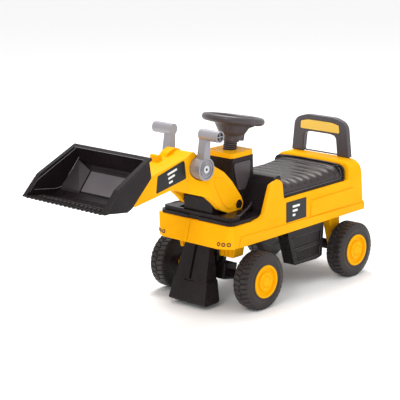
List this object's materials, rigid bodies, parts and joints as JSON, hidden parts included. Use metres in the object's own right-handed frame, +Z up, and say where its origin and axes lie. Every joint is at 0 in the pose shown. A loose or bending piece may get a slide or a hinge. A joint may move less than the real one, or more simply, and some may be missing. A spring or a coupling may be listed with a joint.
{
  "type": "ride-on digger",
  "caption": "Child's foot-to-floor digger with a lever-tilted bucket on a lifting arm, raked steering, hinged seat over a storage tub and a rear push handle.",
  "frame": {"origin": "on the ground under the middle of the whole digger", "axes": "+Z up, +Y to the rear, -Y towards the bucket, +X to the rider's left"},
  "size_m": [0.3024, 0.868, 0.4229],
  "materials": {
    "yellow_plastic": "semi-gloss moulded yellow",
    "black_plastic": "satin moulded black",
    "dark_plastic": "satin dark grey",
    "silver_plastic": "silver-grey moulded",
    "tyre_plastic": "blow-moulded dark grey tread",
    "insert_plastic": "pale yellow panel",
    "steel": "zinc-plated steel",
    "label": "plain dark label",
    "red_button": "red push button",
    "pale_button": "pale push button"
  },
  "bodies": {
    "chassis": {"arm_pivot_bolts": "steel", "arm_pivot_caps": "black_plastic", "backrest_handle": "dark_plastic", "backrest_insert": "insert_plastic", "body_shell": "yellow_plastic", "column_block": "black_plastic", "column_bushes": "black_plastic", "console_tower": "black_plastic", "deck_plate": "black_plastic", "front_leg_left": "yellow_plastic", "front_leg_right": "yellow_plastic", "front_wedge": "black_plastic", "hub_cap_rear_left": "yellow_plastic", "hub_cap_rear_right": "yellow_plastic", "pan_screws": "steel", "rear_axle": "steel", "rear_axle_tube": "black_plastic", "rear_leg_left": "yellow_plastic", "rear_leg_right": "yellow_plastic", "seat_hinge_pin": "steel", "side_decals": "label", "side_step_left": "black_plastic", "side_step_right": "black_plastic", "storage_tub": "black_plastic", "tower_cap": "yellow_plastic", "tower_pads": "dark_plastic", "under_pan": "black_plastic"},
    "seat": {"seat_lid": "dark_plastic"},
    "steering": {"axle_carrier": "black_plastic", "steering_column": "dark_plastic", "steering_wheel": "dark_plastic", "steering_hub_cover": "dark_plastic", "sound_box": "black_plastic", "front_axle": "steel", "hub_cap_front_left": "yellow_plastic", "hub_cap_front_right": "yellow_plastic"},
    "horn_left": {"horn_button_left": "pale_button"},
    "horn_right": {"horn_button_right": "red_button"},
    "wheel_front_left": {"tyre_front_left": "tyre_plastic", "hub_front_left": "yellow_plastic"},
    "wheel_front_right": {"tyre_front_right": "tyre_plastic", "hub_front_right": "yellow_plastic"},
    "wheel_rear_left": {"tyre_rear_left": "tyre_plastic", "hub_rear_left": "yellow_plastic"},
    "wheel_rear_right": {"tyre_rear_right": "tyre_plastic", "hub_rear_right": "yellow_plastic"},
    "arm": {"arm_shell_left": "yellow_plastic", "arm_shell_right": "yellow_plastic", "boom_decals": "label", "bucket_brackets": "black_plastic"},
    "levers": {"tilt_lever_left": "silver_plastic", "tilt_lever_right": "silver_plastic", "lever_shaft": "steel", "lever_bolts": "steel", "tilt_crank": "steel", "crank_pin": "steel"},
    "tilt_link": {"tilt_rod": "steel"},
    "bucket": {"bucket": "black_plastic", "bucket_pin": "steel", "bucket_crank_pin": "steel"}
  },
  "joints": [
    {"name": "seat_hinge", "type": "hinge", "parent": "chassis", "child": "seat", "pos_m": [0, 0.362, 0.256], "axis": [-1, 0, 0], "range_deg": [0, 75]},
    {"name": "steering_turn", "type": "hinge", "parent": "chassis", "child": "steering", "pos_m": [0, 0.0245, 0.065], "axis": [0, 0.1818, 0.9833], "range_deg": [-18, 18]},
    {"name": "horn_left_press", "type": "slide", "parent": "steering", "child": "horn_left", "axis": [0, -0.1818, -0.9833], "range_m": [0, 0.002], "stiffness_N_per_m": 400, "springref_m": -0.001},
    {"name": "horn_right_press", "type": "slide", "parent": "steering", "child": "horn_right", "axis": [0, -0.1818, -0.9833], "range_m": [0, 0.002], "stiffness_N_per_m": 400, "springref_m": -0.001},
    {"name": "roll_front_left", "type": "hinge", "parent": "steering", "child": "wheel_front_left", "pos_m": [0, 0.0245, 0.065], "axis": [1, 0, 0], "continuous": true},
    {"name": "roll_front_right", "type": "hinge", "parent": "steering", "child": "wheel_front_right", "pos_m": [0, 0.0245, 0.065], "axis": [1, 0, 0], "continuous": true},
    {"name": "roll_rear_left", "type": "hinge", "parent": "chassis", "child": "wheel_rear_left", "pos_m": [0, 0.358, 0.065], "axis": [1, 0, 0], "continuous": true},
    {"name": "roll_rear_right", "type": "hinge", "parent": "chassis", "child": "wheel_rear_right", "pos_m": [0, 0.358, 0.065], "axis": [1, 0, 0], "continuous": true},
    {"name": "arm_lift", "type": "hinge", "parent": "chassis", "child": "arm", "pos_m": [0, 0.0363, 0.2252], "axis": [-1, 0, 0], "range_deg": [-12, 15]},
    {"name": "lever_tilt", "type": "hinge", "parent": "arm", "child": "levers", "pos_m": [0, -0.072, 0.323], "axis": [1, 0, 0], "range_deg": [-10, 45]},
    {"name": "link_swing", "type": "hinge", "parent": "levers", "child": "tilt_link", "pos_m": [0, -0.072, 0.309], "axis": [1, 0, 0], "range_deg": [-45, 10]},
    {"name": "bucket_tilt", "type": "hinge", "parent": "arm", "child": "bucket", "pos_m": [0, -0.29, 0.318], "axis": [1, 0, 0], "range_deg": [-10, 45]}
  ],
  "couplings": [
    {"joint": "bucket_tilt", "follows": "lever_tilt", "ratio": 1},
    {"joint": "link_swing", "follows": "lever_tilt", "ratio": -1}
  ]
}
